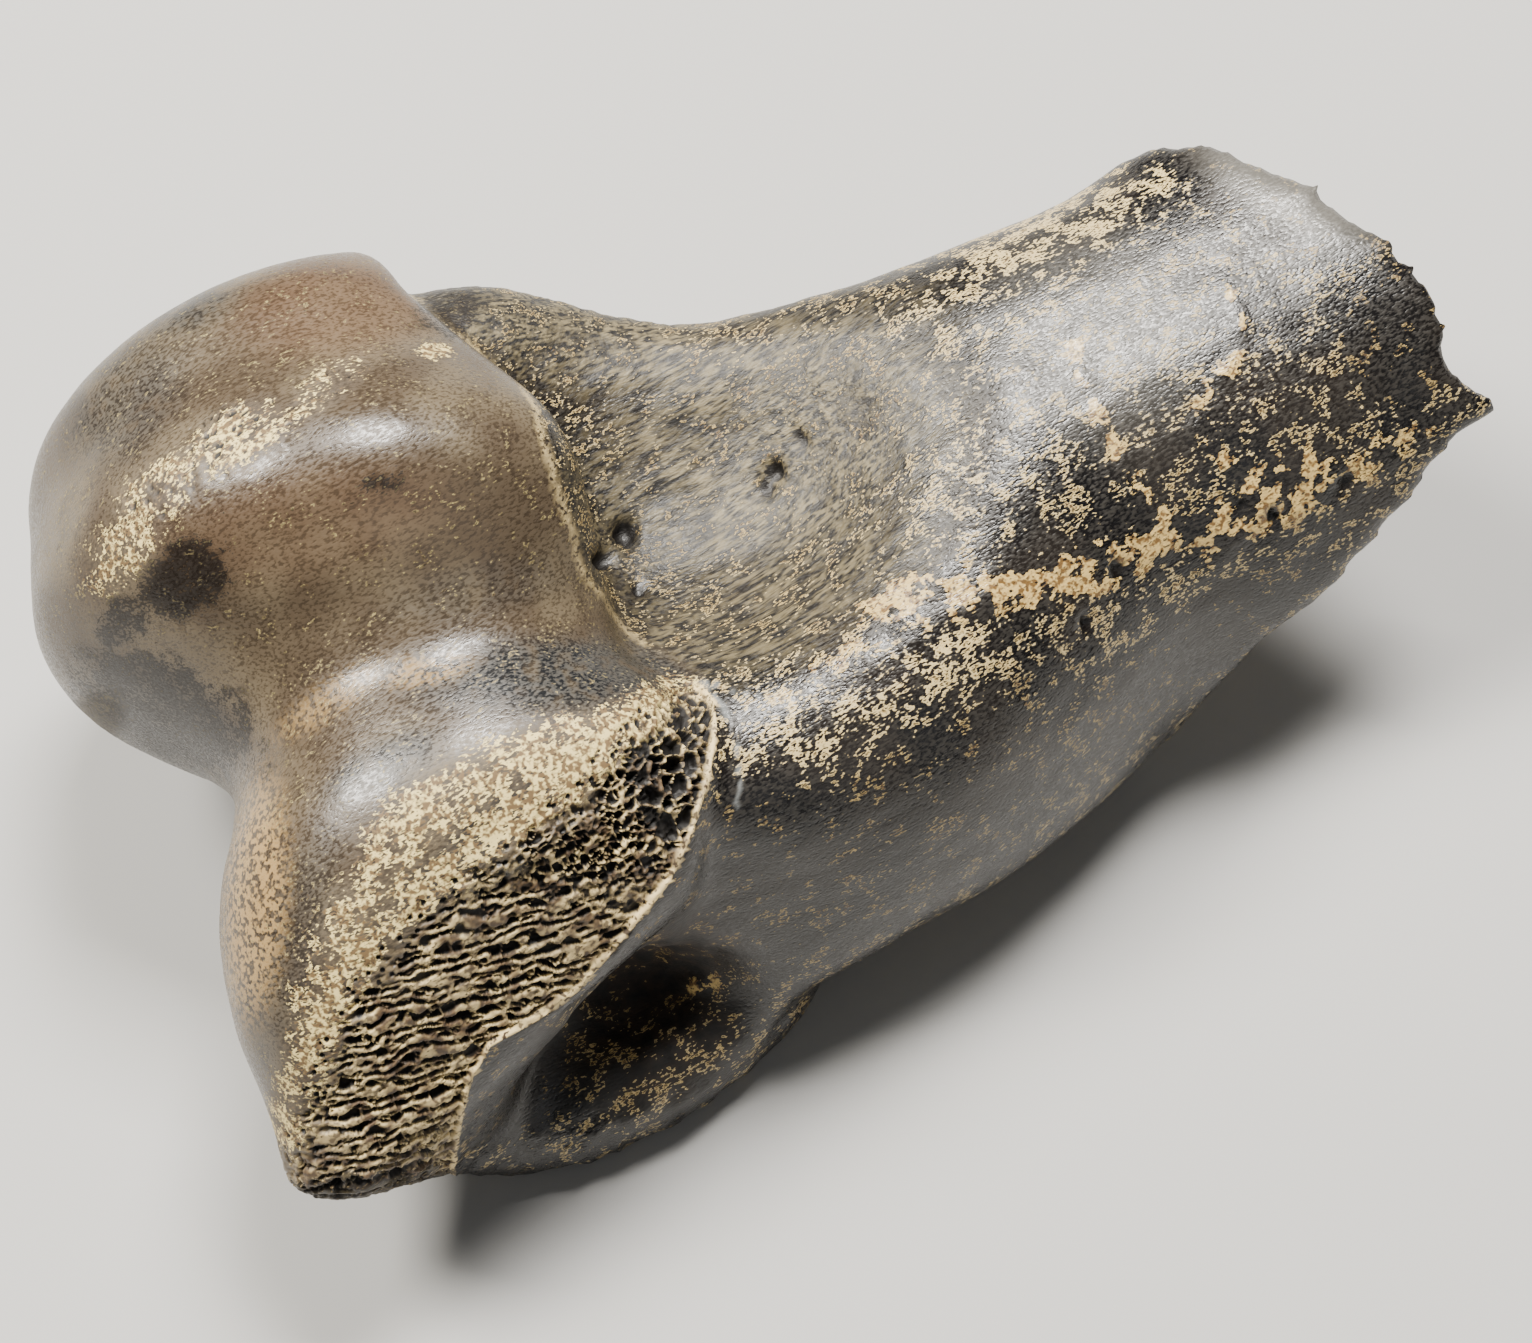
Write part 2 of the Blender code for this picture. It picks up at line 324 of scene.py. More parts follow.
# Painted shade in the side pit, a dark and a brown.
PIT_SHADE_DARK = (14, 11, 9)
PIT_SHADE_BROWN = (46, 34, 24)
FIBRE_DARK = (24, 22, 20)
FIBRE_TAN = (132, 120, 90)
FIBRE_GREY = (30, 29, 28)
FLECK = (222, 198, 142)
CRUST_DARK = (116, 88, 50)
CRUST_LIGHT = (210, 180, 114)
STRUT_BROWN = (104, 80, 52)
STRUT_CREAM = (240, 214, 154)
STRUT_SHADE = (58, 44, 31)
RIM_CREAM = (236, 210, 152)
# Painted shade in the holes of the spongy bone, its pores and the small holes.
HOLE_SHADE = (18, 14, 11)
# Black stains, and painted shade on the underside of the joint.
STAIN_AND_SHADE = (24, 19, 16)
# Pale grey of the shaft, partly a painted sheen.
PALE_AND_SHEEN_GREY = (150, 147, 140)
CRACK_GREY = (150, 154, 154)

# How rough polished and dull bone are, how strongly both mirror, and the strength and height of the grain.
SHEEN = (0.20, 0.46)
DULL = 0.75
MIRROR = 0.6
GRAIN_STRENGTH = 0.55
GRAIN_RELIEF = 0.12
# How strongly the finer lumps show in the noises of the colours, from 0 to 1.
MOTTLING_ROUGHNESS = 0.6


def camera_axes():
    """The camera's place in millimetres, and the ways in which it looks, has its right and has its up."""
    away = Vector(
        (
            math.sin(AZIMUTH) * math.cos(ELEVATION),
            -math.cos(AZIMUTH) * math.cos(ELEVATION),
            math.sin(ELEVATION),
        )
    )
    right = (-away).cross(Vector((0, 0, 1))).normalized()
    up = right.cross(-away)
    turned_right = right * math.cos(ROLL) + up * math.sin(ROLL)
    turned_up = up * math.cos(ROLL) - right * math.sin(ROLL)
    return TARGET + away * DISTANCE, -away, turned_right, turned_up


EYE, FORWARD, RIGHT, UP = camera_axes()
FOCAL_PIXELS = LENS / SENSOR * PHOTO[0]
# How many millimetres of the bone one pixel covers.
PIXEL = DISTANCE / FOCAL_PIXELS


def place_camera():
    data = bpy.data.cameras.new("camera")
    data.lens = LENS
    data.sensor_width = SENSOR
    data.sensor_fit = "HORIZONTAL"
    data.clip_start = 0.01
    data.clip_end = 10
    camera = bpy.data.objects.new("camera", data)
    turn = Matrix((RIGHT, UP, -FORWARD)).transposed()
    camera.matrix_world = Matrix.Translation(EYE * MM) @ turn.to_4x4()
    bpy.context.scene.collection.objects.link(camera)
    bpy.context.scene.camera = camera


def place_lights():
    for name, place, aim, size, power, colour in LIGHTS:
        data = bpy.data.lights.new(name, "AREA")
        data.size = size
        data.energy = power
        data.color = colour
        light = bpy.data.objects.new(name, data)
        light.location = place
        light.rotation_euler = (Vector(aim) - Vector(place)).to_track_quat("-Z", "Y").to_euler()
        bpy.context.scene.collection.objects.link(light)
    world = bpy.data.worlds.new("studio")
    world.use_nodes = True
    world.node_tree.nodes["Background"].inputs["Color"].default_value = WORLD_COLOUR
    world.node_tree.nodes["Background"].inputs["Strength"].default_value = WORLD_STRENGTH
    bpy.context.scene.world = world


def place_floor():
    bpy.ops.mesh.primitive_plane_add(size=FLOOR_SIZE)
    floor = bpy.context.object
    floor.name = "floor"
    material = bpy.data.materials.new("floor")
    material.use_nodes = True
    surface = material.node_tree.nodes["Principled BSDF"]
    surface.inputs["Base Color"].default_value = FLOOR_COLOUR
    surface.inputs["Roughness"].default_value = FLOOR_ROUGHNESS
    floor.data.materials.append(material)


def smooth_step(low, high, value):
    """A smooth rise from 0 to 1 as the value goes from low to high."""
    t = np.clip((value - low) / (high - low), 0, 1)
    return t * t * (3 - 2 * t)


def scatter(cell):
    """Three numbers from 0 to 1 for each cell of space, which look random and are always the same."""
    rows = ((127.1, 311.7, 74.7), (269.5, 183.3, 246.1), (113.5, 271.9, 124.6))
    waves = np.sin(cell @ np.array(rows).T) * 43758.5453
    return waves - np.floor(waves)


def clouds(p, size, octaves=3):
    """Smooth noise between -1 and 1 with lumps of about this size, and finer ones on them.

    A number that a caller adds to the points only makes one noise differ from another.
    """
    total, weight, whole = np.zeros(len(p)), 1.0, 0.0
    for octave in range(octaves):
        q = p * 2**octave / size + 17.3 * octave
        base = np.floor(q)
        t = q - base
        t = t * t * (3 - 2 * t)
        value = np.zeros(len(p))
        for corner in np.ndindex(2, 2, 2):
            share = np.prod(np.where(corner, t, 1 - t), axis=1)
            value += share * scatter(base + corner)[:, 0]
        total += weight * (2 * value - 1)
        whole += weight
        weight *= 0.5
    return total / whole


def cells(p, size):
    """Uneven cells of about this size, as three results for each point, with distances in cells.

    They are how far the point is inside its cell's wall, the cell's own number from 0 to 1, and how far the
    point is from the cell's middle.
    """
    q = p / size
    base = np.floor(q)
    first, second, number = np.full(len(p), 9.0), np.full(len(p), 9.0), np.zeros(len(p))
    for offset in np.ndindex(3, 3, 3):
        cell = base + offset - 1
        chance = scatter(cell)
        away = np.linalg.norm(cell + chance - q, axis=1)
        nearer = away < first
        second = np.where(nearer, first, np.minimum(second, away))
        number = np.where(nearer, chance[:, 1], number)
        first = np.minimum(first, away)
    return second - first, number, first


def in_photo(p):
    """Where in the photograph each point is."""
    q = p - np.array(EYE)
    depth = q @ np.array(FORWARD)
    across = PHOTO[0] / 2 + FOCAL_PIXELS * (q @ np.array(RIGHT)) / depth
    down = PHOTO[1] / 2 - FOCAL_PIXELS * (q @ np.array(UP)) / depth
    return np.stack([across, down], axis=1)


def line_distance(pixels, line):
    """How far each pixel is from a line through points, in millimetres."""
    nearest = np.full(len(pixels), np.inf)
    for a, b in zip(np.array(line[:-1], float), np.array(line[1:], float)):
        run = b - a
        t = np.clip((pixels - a) @ run / (run @ run), 0, 1)
        nearest = np.minimum(nearest, np.linalg.norm(pixels - a - t[:, None] * run, axis=1))
    return nearest * PIXEL


def inside(pixels, outline):
    """Whether each pixel is within a closed outline."""
    crossings = np.zeros(len(pixels), bool)
    x, y = pixels.T
    for (x0, y0), (x1, y1) in zip(outline, outline[1:] + outline[:1]):
        if y0 != y1:
            crossings ^= ((y0 > y) != (y1 > y)) & (x < (x1 - x0) * (y - y0) / (y1 - y0) + x0)
    return crossings


def patches(pixels, ellipses):
    """How strongly each pixel lies in any of these ellipses, from 0 to 1, fading at their edges."""
    most = np.zeros(len(pixels))
    for middle, reach, turn, strength in ellipses:
        c, s = math.cos(math.radians(turn)), math.sin(math.radians(turn))
        x, y = (pixels - middle).T
        far = np.hypot((c * x + s * y) / reach[0], (c * y - s * x) / reach[1])
        most = np.maximum(most, strength * smooth_step(1.5, 0.55, far))
    return most


def points_of(mesh):
    p = np.empty(len(mesh.vertices) * 3, np.float32)
    mesh.vertices.foreach_get("co", p)
    return p.reshape(-1, 3).astype(float)


def normals_of(mesh):
    n = np.empty(len(mesh.vertices) * 3, np.float32)
    mesh.vertex_normals.foreach_get("vector", n)
    return n.reshape(-1, 3).astype(float)


def edges_of(mesh):
    e = np.empty(len(mesh.edges) * 2, np.int32)
    mesh.edges.foreach_get("vertices", e)
    return e.reshape(-1, 2)


def set_points(mesh, p):
    mesh.vertices.foreach_set("co", p.astype(np.float32).ravel())
    mesh.update()


def set_mask(mesh, name, values):
    mesh.attributes.new(name, "FLOAT", "POINT").data.foreach_set("value", values.astype(np.float32))


def smoothed(p, edges, rounds):
    """Evens out facets; each round draws the points together and back again, so the shape doesn't shrink."""
    count = np.bincount(edges.ravel(), minlength=len(p)).astype(float)[:, None]
    ends = np.concatenate([edges[:, 0], edges[:, 1]])
    others = np.concatenate([edges[:, 1], edges[:, 0]])
    for _ in range(rounds):
        for step in (0.6, -0.62):
            total = np.stack([np.bincount(ends, p[others, k], len(p)) for k in range(3)], axis=1)
            p = p + step * (total / count - p)
    return p


def remeshed(bone):
    """Makes the mesh anew from even faces."""
    modifier = bone.modifiers.new("remesh", "REMESH")
    modifier.mode = "VOXEL"
    modifier.voxel_size = BASE_GRAIN
    graph = bpy.context.evaluated_depsgraph_get()
    mesh = bpy.data.meshes.new_from_object(bone.evaluated_get(graph))
    bone.modifiers.clear()
    bone.data = mesh


def without_crumbs(mesh):
    """Leaves only the largest connected piece of the mesh."""
    edges = edges_of(mesh)
    label, before = np.arange(len(mesh.vertices)), None
    while before is None or (label != before).any():
        before = label.copy()
        np.minimum.at(label, edges[:, 0], before[edges[:, 1]])
        np.minimum.at(label, edges[:, 1], before[edges[:, 0]])
        label = label[label]
    largest = np.bincount(label).argmax()
    made = bmesh.new()
    made.from_mesh(mesh)
    crumbs = [v for v in made.verts if label[v.index] != largest]
    bmesh.ops.delete(made, geom=crumbs, context="VERTS")
    made.to_mesh(mesh)
    made.free()


def split_where(mesh, wanted):
    """Splits each face with wanted vertices into smaller ones, and evens out the result."""
    made = bmesh.new()
    made.from_mesh(mesh)
    edges = [e for e in made.edges if wanted[e.verts[0].index] or wanted[e.verts[1].index]]
    bmesh.ops.subdivide_edges(made, edges=edges, cuts=1, use_grid_fill=True)
    made.to_mesh(mesh)
    made.free()
    set_points(mesh, smoothed(points_of(mesh), edges_of(mesh), SPLIT_SMOOTHING))


def facing(n):
    """How far each normal looks towards the camera, from -1 to 1."""
    return -(n @ np.array(FORWARD))


def past_rim(p):
    """How far along the bone each point is past the wavy edge of the joint surface."""
    across, reach = np.array(RIM).T
    return p[:, 0] - np.interp(p[:, 1], across, reach) + 0.5 * clouds(p, 4.0, 2)


def joint_share(p):
    """Where the joint surface is, from 0 to 1."""
    on_flank = inside(in_photo(p), FLANK) & (p[:, 1] < FLANK_SIDE)
    return smooth_step(0.8, -0.8, past_rim(p)) * ~on_flank


def is_spongy(p, n):
    return inside(in_photo(p), SPONGY_OUTLINE) & (facing(n) > 0) & (p[:, 0] < SPONGY_REACH)


def bone_mesh(node):
    """A fine even mesh of the bone, finest where the photograph shows most."""
    bone = bpy.data.objects.new("bone_surface", node.data.copy())
    bpy.context.scene.collection.objects.link(bone)
    bone.data.materials.clear()
    bone.data.transform(Matrix.Scale(1 / MM, 4))
    remeshed(bone)
    mesh = bone.data
    without_crumbs(mesh)
    p = smoothed(points_of(mesh), edges_of(mesh), SMOOTHING)
    even = smoothed(p, edges_of(mesh), BREAK_SMOOTHING)
    set_points(mesh, p + smooth_step(*BREAK_ZONE, p[:, :1]) * (even - p))
    p, n = points_of(mesh), normals_of(mesh)
    worn = (patches(in_photo(p), WORN) > 0.1) & (facing(n) > 0.2) & (p[:, 0] < WORN_REACH)
    split_where(mesh, is_spongy(p, n) | worn)
    split_where(mesh, is_spongy(points_of(mesh), normals_of(mesh)))
    return bone


def surveyed(mesh):
    """What is known of each point: its place and pixel, how well the photograph shows it, and its region."""
    at = SimpleNamespace(p=points_of(mesh), n=normals_of(mesh))
    at.pixels = in_photo(at.p)
    at.seen = smooth_step(-0.3, 0.05, facing(at.n))
    at.guessed = 1 - at.seen
    at.joint = joint_share(at.p)
    at.shaft = 1 - at.joint
    at.spongy = is_spongy(at.p, at.n)
    at.from_edge = line_distance(at.pixels, SPONGY_EDGE)
    at.from_fade = line_distance(at.pixels, SPONGY_FADE)
    at.ragged = clouds(at.p, 2.2, 3)
    return at


def round_holes(wavy, pixels):
    """How deep the round holes of the spongy bone are, with the largest in their own ellipse."""
    walls, number, _ = cells(wavy, HOLE_SIZE)
    small = smooth_step(0.03, 0.28, walls) * (0.5 + 0.9 * number)
    walls, number, _ = cells(wavy + 40, LARGE_HOLE_SIZE)
    large = smooth_step(0.03, 0.18, walls) * (0.8 + 1.4 * number)
    middle, reach = LARGE_HOLES
    largest = smooth_step(1.4, 0.5, np.hypot(*((pixels - middle) / reach).T))
    return small * (1 - largest) + np.maximum(large, 0.4 * small) * largest


def plate_gaps(p, wavy):
    """How deep the gaps between the wavy plates are, bridged here and there by the walls of long cells."""
    along, up, into = np.array(RIGHT + UP * 0.2), np.array(UP - RIGHT * 0.2), np.array(FORWARD)
    flow = clouds(p @ np.stack([along * 0.55, up, into]).T, 1.6, 3)
    turns = (p @ up) / PLATE_SPACING
    waves = np.sin(2 * math.pi * turns + 6.0 * flow + 1.6 * clouds(p, 0.8, 1))
    walls, number, _ = cells(wavy @ np.stack([along * 0.5, up * 0.7, into * 0.4]).T + 9, 0.9)
    return smooth_step(-0.65, 0.35, waves) * smooth_step(0.01, 0.14, walls) * (0.5 + 0.9 * number)


def spongy_relief(at):
    """How open the spongy bone is, from 0 to 1, how deep its holes are, and how deep it lies in all."""
    p = at.p
    openness = at.spongy * smooth_step(0.0, 4.0, at.from_fade + 2.5 * at.ragged)
    openness = np.clip(openness * (0.85 + 0.4 * clouds(p + 3, 4.0, 2)), 0, 1)
    behind_edge = smooth_step(0.1, 0.5, at.from_edge + 0.35 * clouds(p, 0.9, 2))
    wavy = p + 0.45 * np.stack([clouds(p + k, 1.3, 2) for k in (0, 31, 57)], axis=1)
    low = smooth_step(*PLATES, at.pixels[:, 1] + 30 * clouds(p, 6.0, 2))
    holes = round_holes(wavy, at.pixels) * (1 - low) + plate_gaps(p, wavy) * low
    holes = holes * openness * behind_edge
    return openness, holes, holes + SPONGY_DROP * openness * behind_edge


def worn_pores(at, openness):
    """Where the small pores of the worn joint surface are, from 0 to 1."""
    fading = inside(at.pixels, SPONGY_OUTLINE) * smooth_step(5.0, 1.0, at.from_fade)
    worn = np.maximum(patches(at.pixels, WORN) * (1 - openness), fading) * at.seen * at.joint
    _, number, from_middle = cells(at.p, PORE_SIZE)
    return smooth_step(0.38, 0.18, from_middle) * (number > 0.3) * worn


def fibres(at):
    """How fibrous the bone is, from 0 to 1, where the ridges of its fibres are, and how deep it lies."""
    fibrous = (at.seen * patches(at.pixels, FIBROUS) + 0.3 * at.guessed) * at.shaft
    drawn_out = at.p @ np.stack([RIGHT * 0.14 + UP * 0.08, UP - RIGHT * 0.55, FORWARD * 0.15]).T
    ridges = 1 - 2.4 * np.abs(clouds(drawn_out, FIBRE_SIZE, 3))
    return fibrous, ridges, fibrous * (FIBRE_DEPTH * (1 - ridges) + 0.10 * clouds(at.p, 3.0, 3))


def crust(at):
    """Where the crust on the shaft is, from 0 to 1, and how high its lumps stand."""
    share = patches(at.pixels, CRUST)
    for line in CRUST_LINES:
        away = line_distance(at.pixels, line) + 0.5 * clouds(at.p, 1.4, 2)
        share = np.maximum(share, 0.9 * smooth_step(1.1, 0.1, away))
    share = share * at.seen * at.shaft
    lumps = smooth_step(-0.2, 0.15, clouds(at.p + 9, 1.7, 3)) * (1 + 0.8 * clouds(at.p, 0.7, 2))
    return share, CRUST_HEIGHT * share * lumps


def unevenness(at, openness):
    """The shallow waves of the shaft, drawn out along it, and those of the joint surface."""
    shaft = 0.10 * clouds(at.p * (0.35, 1, 1), 1.4, 3) + 0.12 * clouds(at.p, 6.0, 2)
    joint = 0.05 * clouds(at.p, 2.5, 3)
    return at.shaft * shaft + at.joint * (1 - openness) * joint


def small_holes(at):
    """Where the holes with a place of their own are, from 0 to 1, and how deep."""
    share, depth = np.zeros(len(at.p)), np.zeros(len(at.p))
    rough = 0.2 * clouds(at.p, 0.6, 2)
    for middle, radius in FORAMINA + SHAFT_PITS:
        far = np.linalg.norm(at.pixels - middle, axis=1) * PIXEL / radius
        hole = smooth_step(1.2, 0.6, far + rough) * at.seen * at.shaft
        share = np.maximum(share, hole)
        depth += HOLE_DEPTH_PER_RADIUS * radius * hole
    return share, depth


def side_pit(at):
    """Where the side pit is, from 0 to 1, and how much deeper than the solid's, with its folds."""
    away = (at.pixels - PIT_MIDDLE) / PIT_REACH
    angle = np.arctan2(away[:, 1], away[:, 0])
    far = np.linalg.norm(away, axis=1)
    share = smooth_step(1.2, 0.3, far) * at.seen * (at.p[:, 2] < PIT_TOP) * ~at.spongy
    folds = 0.16 * np.sin(angle * PIT_FOLDS + 5 * clouds(at.p, 5.0, 2)) * smooth_step(0.1, 0.4, far)
    return share, share * (PIT_DEPTH * smooth_step(0.7, 0.0, far) + folds + 0.25 * clouds(at.p, 1.6, 3))


def raggedness(at):
    lumps = 0.5 * clouds(at.p, 1.5, 4) + 0.3 * clouds(at.p, 4.0, 2)
    return patches(at.pixels, RAGGED) * at.seen * lumps


def cracks(at):
    share = np.zeros(len(at.p))
    for line in CRACKS:
        share = np.maximum(share, smooth_step(0.3, 0.05, line_distance(at.pixels, line)))
    return share * at.seen


def cream_rim(at):
    """The cream line along the edge of the joint surface, and the wider one along the sharp edge."""
    near_rim = smooth_step(0.45, 0.1, np.abs(past_rim(at.p)))
    joint_rim = 0.45 * at.seen * ~at.spongy * (at.p[:, 1] > RIM_LINE_SIDE) * near_rim
    sharp_edge = at.spongy * smooth_step(0.7, 0.1, at.from_edge + 0.7 * at.ragged)
    return np.maximum(joint_rim, sharp_edge)


def colour_masks(at, crusted):
    """Where each colour goes: patches where the photograph shows the bone, and guessed clouds elsewhere."""
    cream = at.seen * patches(at.pixels, CREAM) + at.guessed * smooth_step(0.25, 0.6, clouds(at.p + 5, 14, 2))
    slate = at.seen * patches(at.pixels, SLATE) + at.guessed * smooth_step(0.2, 0.6, clouds(at.p + 50, 16, 2))
    crusts = crusted + at.guessed * at.shaft * smooth_step(0.3, 0.6, clouds(at.p + 70, 9, 3))
    # Painted shade: the hidden underside of the joint grows darker towards the bottom.
    painted_underside_shade = 0.85 * at.joint * at.guessed * smooth_step(26.0, 6.0, at.p[:, 2])
    return {
        "joint": at.joint,
        "cream": at.joint * cream,
        "slate": at.joint * slate,
        "orange": at.joint * at.seen * patches(at.pixels, ORANGE),
        "red": at.joint * at.seen * patches(at.pixels, RED),
        # Black stains, and painted shade on the underside of the joint.
        "black": np.maximum(at.seen * patches(at.pixels, BLACK_STAINS_AND_SHADE), painted_underside_shade),
        # A pale patch, and a painted sheen on the shaft's lit top.
        "pale_and_sheen": at.shaft * at.seen * patches(at.pixels, PALE_AND_SHEEN),
        "crust": np.clip(crusts, 0, 1),
        "speckle": at.shaft * (at.seen * patches(at.pixels, SPECKLED) + 0.3 * at.guessed),
        "bare": at.shaft * at.seen * patches(at.pixels, BARE),
        "crack": cracks(at),
        "rim": cream_rim(at),
    }


def weathered(bone, box):
    """Shapes the fine surface of the bone, inside the solid's box, and marks on it where each colour goes."""
    mesh = bone.data
    at = surveyed(mesh)
    openness, spongy_holes, spongy_depth = spongy_relief(at)
    pores = worn_pores(at, openness)
    fibrous, ridges, fibre_depth = fibres(at)
    crusted, crust_height = crust(at)
    pierced, hole_depth = small_holes(at)
    shaded_pit, pit_depth = side_pit(at)
    depth = spongy_depth + PORE_DEPTH * pores + fibre_depth - crust_height + unevenness(at, openness)
    depth += hole_depth + pit_depth + raggedness(at)
    # From here on the places are those of the shaped surface, before the solid's box limits it.
    at.p = at.p - depth[:, None] * at.n
    set_points(mesh, np.clip(at.p, *box))

    masks = colour_masks(at, crusted)
    masks["spongy"] = openness**1.5
    # Painted shade in the holes: darker the deeper the spongy holes are, and in the pores and small holes.
    masks["hole"] = np.clip(spongy_holes / HOLE_SHADE_DEPTH, 0, 1) + pores + pierced
    masks["fibre"] = fibrous
    masks["ridge"] = np.clip(ridges, 0, 1)
    # The side pit, where shade is painted into the colour and the bone is duller.
    masks["pit"] = shaded_pit
    for name, values in masks.items():
        set_mask(mesh, name, values)


def srgb(red, green, blue):
    """A colour as a screen shows it, as Blender takes it."""
    shown = [c / 255 for c in (red, green, blue)]
    return tuple(c / 12.92 if c < 0.04 else ((c + 0.055) / 1.055) ** 2.4 for c in shown) + (1.0,)


def put(tree, socket, value):
    """Links a socket to another one's value, or sets it to a plain value."""
    if isinstance(value, bpy.types.NodeSocket):
        tree.links.new(value, socket)
    elif value is not None:
        socket.default_value = value


def add_node(tree, kind, *values, **settings):
    """A shader node with its first inputs set or linked, in order; None leaves one alone."""
    node = tree.nodes.new(kind)
    for name, value in settings.items():
        setattr(node, name, value)
    for socket, value in zip(node.inputs, values):
        put(tree, socket, value)
    return node


def reckon(tree, operation, a, b=0.0):
    """The result of one sum, held between 0 and 1."""
    return add_node(tree, "ShaderNodeMath", a, b, operation=operation, use_clamp=True).outputs[0]


def product(tree, a, b):
    return reckon(tree, "MULTIPLY", a, b)


def raised(tree, noise, share, by):
    """A noise lifted by this much where the share is 1, so that more of it passes a limit there."""
    return add_node(tree, "ShaderNodeMath", share, by, noise, operation="MULTIPLY_ADD").outputs[0]


def between(tree, value, low, high, start=0.0, end=1.0):
    """A smooth rise from start to end as the value goes from low to high."""
    node = add_node(tree, "ShaderNodeMapRange", value, low, high, start, end, interpolation_type="SMOOTHSTEP")
    return node.outputs[0]


def blend(tree, share, first, second):
    """One colour going over to another; each is a socket, or a colour as a screen shows it."""
    node = add_node(tree, "ShaderNodeMix", share, data_type="RGBA")
    for socket, colour in ((node.inputs[6], first), (node.inputs[7], second)):
        put(tree, socket, srgb(*colour) if isinstance(colour, tuple) else colour)
    return node.outputs[2]


def mask(tree, name):
    return add_node(tree, "ShaderNodeAttribute", attribute_name=name).outputs["Fac"]


def mottling(tree, place, size, detail=1, stretch=None):
    """Noise with lumps of about this many millimetres, drawn out along the bone where a stretch is given."""
    if stretch:
        place = add_node(tree, "ShaderNodeMapping", place, None, None, (stretch, 1.0, 1.0)).outputs[0]
    node = add_node(tree, "ShaderNodeTexNoise", place, None, 1 / (size * MM), detail, MOTTLING_ROUGHNESS)
    return node.outputs["Fac"]


def bone_noises(tree):
    """The noises that break up every colour, from broad to fine, and the ones made from them."""
    place = tree.nodes.new("ShaderNodeTexCoord").outputs["Object"]
    noise = SimpleNamespace()
    noise.broad = mottling(tree, place, 9.0)
    noise.middling = mottling(tree, place, 2.0, detail=2)
    noise.fine = mottling(tree, place, 0.5)
    noise.grain = mottling(tree, place, 0.24, stretch=0.45)
    noise.strands = mottling(tree, place, 0.4, stretch=0.16)
    gathering = between(tree, noise.middling, 0.35, 0.65, 0, 0.28)
    noise.gathered = add_node(tree, "ShaderNodeMath", gathering, noise.grain, operation="ADD").outputs[0]
    lowered = add_node(tree, "ShaderNodeMath", noise.gathered, 0.16, operation="SUBTRACT")
    noise.clustered = lowered.outputs[0]
    return noise


def joint_colour(tree, noise):
    """The brown joint surface with its patches, its flecks and its cream cover."""
    colour = blend(tree, between(tree, noise.broad, 0.38, 0.62), BROWN, LIGHT_BROWN)
    colour = blend(tree, between(tree, noise.middling, 0.48, 0.70, 0, 0.5), colour, DEEP_BROWN)
    colour = blend(tree, product(tree, mask(tree, "red"), 0.55), colour, RED_BROWN)
    colour = blend(tree, between(tree, noise.grain, 0.32, 0.56, 0.55, 0.0), colour, BROWN_GRAIN)
    slate = blend(tree, between(tree, noise.grain, 0.4, 0.6), SLATE_DARK, SLATE_LIGHT)
    slated = product(tree, mask(tree, "slate"), between(tree, noise.middling, 0.3, 0.5, 0.4, 1))
    colour = blend(tree, slated, colour, slate)
    orange = product(tree, mask(tree, "orange"), between(tree, noise.fine, 0.40, 0.55))
    colour = blend(tree, orange, colour, ORANGE_TAN)
    cream = blend(tree, between(tree, noise.fine, 0.40, 0.60), CREAM_PORE, CREAM_LIGHT)
    cover = raised(tree, noise.clustered, mask(tree, "cream"), 0.42)
    return blend(tree, between(tree, cover, 0.70, 0.76, 0, 0.92), colour, cream)


def fibre_colour(tree, noise, colour):
    """The tan and grey fibres, laid over another colour."""
    fibre = blend(tree, between(tree, noise.strands, 0.36, 0.62), FIBRE_DARK, FIBRE_TAN)
    fibre = blend(tree, between(tree, noise.middling, 0.46, 0.60, 0, 0.8), fibre, FIBRE_GREY)
    on_ridge = between(tree, mask(tree, "ridge"), 0.0, 0.9, 0.35, 0.95)
    return blend(tree, product(tree, mask(tree, "fibre"), on_ridge), colour, fibre)


def fleck_share(tree, noise):
    """Where the shaft's cream flecks are: more where it is speckled, fewer where it is bare or fibrous."""
    more = between(tree, mask(tree, "speckle"), 0, 1, 0.0, 0.12)
    plain = reckon(tree, "MAXIMUM", mask(tree, "bare"), product(tree, mask(tree, "fibre"), 0.3))
    fewer = between(tree, plain, 0, 1, 0.0, 0.3)
    flecked = reckon(tree, "SUBTRACT", reckon(tree, "ADD", noise.clustered, more), fewer)
    return between(tree, flecked, 0.62, 0.67, 0, 0.92)


def crust_colour(tree, noise, colour):
    """The orange-tan crust in ragged clumps, laid over another colour."""
    tan = blend(tree, between(tree, noise.fine, 0.38, 0.56), CRUST_DARK, CRUST_LIGHT)
    coarse = between(tree, noise.middling, 0.36, 0.62, 0, 0.7)
    ragged = between(tree, noise.grain, 0.3, 0.65, 0, 0.3)
    cover = raised(tree, reckon(tree, "ADD", coarse, ragged), mask(tree, "crust"), 0.52)
    return blend(tree, between(tree, cover, 0.93, 0.99), colour, tan)


